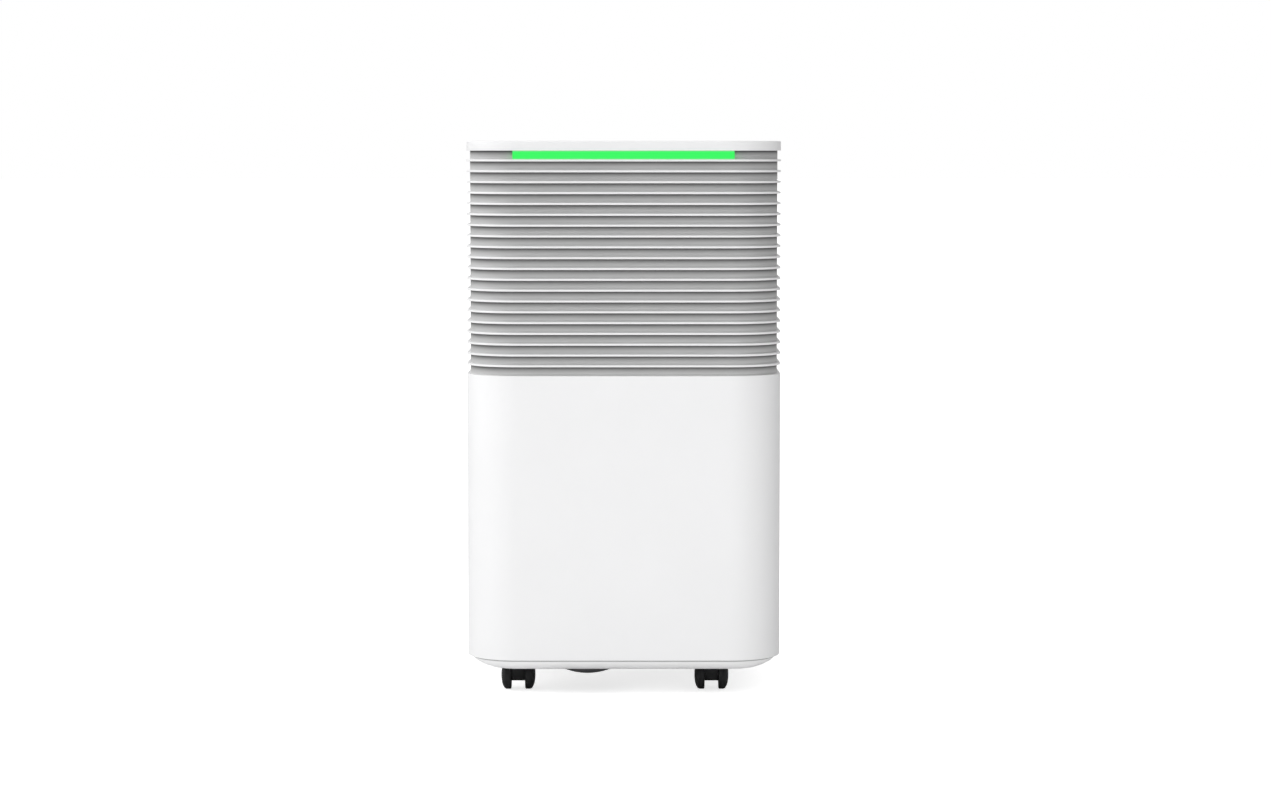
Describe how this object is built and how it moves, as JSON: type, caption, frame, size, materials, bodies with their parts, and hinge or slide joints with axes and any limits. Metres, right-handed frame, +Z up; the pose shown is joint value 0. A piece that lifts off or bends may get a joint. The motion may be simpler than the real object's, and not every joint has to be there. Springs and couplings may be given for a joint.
{
  "type": "portable dehumidifier",
  "caption": "Upright compressor dehumidifier on casters: ribbed upper housing with a green light strip, pull-out rear water tank, hinged air louvre and inlet filter cover.",
  "frame": {"origin": "on the floor, under the middle of the cabinet's outline", "axes": "+Z up, the front (ribs and light strip) faces -Y, +X is to the right seen from the front"},
  "size_m": [0.294, 0.236, 0.518],
  "materials": {
    "base_grey": "satin",
    "board_green": "matte",
    "button_white": "satin",
    "capacitor_can": "satin",
    "caster_black": "satin",
    "compressor_black": "semi-gloss",
    "copper": "satin",
    "filter_grey": "matte",
    "filter_net": "matte",
    "fin_metal": "satin",
    "float_orange": "matte",
    "grommet_rubber": "matte",
    "groove_grey": "matte",
    "housing_white": "satin",
    "impeller_black": "matte",
    "inner_plastic": "matte",
    "lens_dark": "gloss",
    "lid_grey": "satin",
    "light_green": "gloss",
    "motor_metal": "satin",
    "panel_black": "gloss",
    "screw_steel": "satin",
    "switch_black": "matte",
    "tank_clear": "gloss",
    "well_dark": "satin",
    "wheel_black": "satin"
  },
  "bodies": {
    "cabinet": {"accumulator": "compressor_black", "base_tray": "base_grey", "capillary_and_drier": "copper", "case_screws": "screw_steel", "compressor": "compressor_black", "compressor_grommets": "grommet_rubber", "compressor_well_cover": "well_dark", "condenser_fins": "fin_metal", "condenser_tubes": "copper", "control_panel": "panel_black", "cord_gland": "switch_black", "discharge_pipe": "copper", "display_board": "board_green", "display_lens": "lens_dark", "drip_tray": "inner_plastic", "electronics_box": "inner_plastic", "evaporator_fins": "fin_metal", "evaporator_tubes": "copper", "fan_housing": "inner_plastic", "fan_motor": "motor_metal", "front_shell": "housing_white", "groove_liner": "groove_grey", "led_board": "board_green", "led_strip": "light_green", "main_board": "board_green", "outlet_grille": "groove_grey", "rear_shell": "housing_white", "run_capacitor": "capacitor_can", "side_grip_cups": "groove_grey", "suction_pipe": "copper", "tank_bay": "inner_plastic", "tank_switch": "switch_black", "top_cover": "housing_white"},
    "louvre": {"louvre_flap": "housing_white"},
    "inlet_cover": {"inlet_grille": "housing_white", "filter_frame": "filter_grey", "filter_mesh": "filter_net"},
    "water_tank": {"tank_body": "tank_clear", "tank_lid": "lid_grey", "tank_fascia": "housing_white"},
    "float": {"float_arm": "float_orange"},
    "drain_door": {"drain_door": "housing_white"},
    "impeller": {"fan_impeller": "impeller_black"},
    "power_key": {"button_power": "button_white"},
    "mode_key": {"button_mode": "button_white"},
    "fan_key": {"button_fan": "button_white"},
    "timer_key": {"button_timer": "button_white"},
    "caster_front_left": {"caster_fork_front_left": "caster_black"},
    "wheels_front_left": {"caster_wheels_front_left": "wheel_black", "caster_axle_front_left": "screw_steel"},
    "caster_front_right": {"caster_fork_front_right": "caster_black"},
    "wheels_front_right": {"caster_wheels_front_right": "wheel_black", "caster_axle_front_right": "screw_steel"},
    "caster_rear_left": {"caster_fork_rear_left": "caster_black"},
    "wheels_rear_left": {"caster_wheels_rear_left": "wheel_black", "caster_axle_rear_left": "screw_steel"},
    "caster_rear_right": {"caster_fork_rear_right": "caster_black"},
    "wheels_rear_right": {"caster_wheels_rear_right": "wheel_black", "caster_axle_rear_right": "screw_steel"}
  },
  "joints": [
    {"name": "louvre_hinge", "type": "hinge", "parent": "cabinet", "child": "louvre", "pos_m": [0, 0.0562, 0.5165], "axis": [-1, 0, 0], "range_deg": [0, 80]},
    {"name": "inlet_cover_hinge", "type": "hinge", "parent": "cabinet", "child": "inlet_cover", "pos_m": [0, 0.1165, 0.2638], "axis": [-1, 0, 0], "range_deg": [0, 75]},
    {"name": "tank_slide", "type": "slide", "parent": "cabinet", "child": "water_tank", "axis": [0, 1, 0], "range_m": [0, 0.13]},
    {"name": "float_hinge", "type": "hinge", "parent": "water_tank", "child": "float", "pos_m": [-0.1005, 0.05, 0.12], "axis": [1, 0, 0], "range_deg": [0, 35]},
    {"name": "drain_door_hinge", "type": "hinge", "parent": "cabinet", "child": "drain_door", "pos_m": [0.075, 0.11675, 0.2547], "axis": [1, 0, 0], "range_deg": [0, 100]},
    {"name": "impeller_spin", "type": "hinge", "parent": "cabinet", "child": "impeller", "pos_m": [0, 0.02, 0.345], "axis": [0, 1, 0], "continuous": true},
    {"name": "power_press", "type": "slide", "parent": "cabinet", "child": "power_key", "axis": [0, 0, -1], "range_m": [0, 0.0006], "stiffness_N_per_m": 400, "springref_m": -0.002},
    {"name": "mode_press", "type": "slide", "parent": "cabinet", "child": "mode_key", "axis": [0, 0, -1], "range_m": [0, 0.0006], "stiffness_N_per_m": 400, "springref_m": -0.002},
    {"name": "fan_press", "type": "slide", "parent": "cabinet", "child": "fan_key", "axis": [0, 0, -1], "range_m": [0, 0.0006], "stiffness_N_per_m": 400, "springref_m": -0.002},
    {"name": "timer_press", "type": "slide", "parent": "cabinet", "child": "timer_key", "axis": [0, 0, -1], "range_m": [0, 0.0006], "stiffness_N_per_m": 400, "springref_m": -0.002},
    {"name": "swivel_front_left", "type": "hinge", "parent": "cabinet", "child": "caster_front_left", "pos_m": [-0.1, -0.071, 0.036], "axis": [0, 0, 1], "continuous": true},
    {"name": "roll_front_left", "type": "hinge", "parent": "caster_front_left", "child": "wheels_front_left", "pos_m": [-0.1, -0.063, 0.014], "axis": [1, 0, 0], "continuous": true},
    {"name": "swivel_front_right", "type": "hinge", "parent": "cabinet", "child": "caster_front_right", "pos_m": [0.083, -0.071, 0.036], "axis": [0, 0, 1], "continuous": true},
    {"name": "roll_front_right", "type": "hinge", "parent": "caster_front_right", "child": "wheels_front_right", "pos_m": [0.083, -0.063, 0.014], "axis": [1, 0, 0], "continuous": true},
    {"name": "swivel_rear_left", "type": "hinge", "parent": "cabinet", "child": "caster_rear_left", "pos_m": [-0.1, 0.071, 0.036], "axis": [0, 0, 1], "continuous": true},
    {"name": "roll_rear_left", "type": "hinge", "parent": "caster_rear_left", "child": "wheels_rear_left", "pos_m": [-0.1, 0.079, 0.014], "axis": [1, 0, 0], "continuous": true},
    {"name": "swivel_rear_right", "type": "hinge", "parent": "cabinet", "child": "caster_rear_right", "pos_m": [0.083, 0.071, 0.036], "axis": [0, 0, 1], "continuous": true},
    {"name": "roll_rear_right", "type": "hinge", "parent": "caster_rear_right", "child": "wheels_rear_right", "pos_m": [0.083, 0.079, 0.014], "axis": [1, 0, 0], "continuous": true}
  ]
}
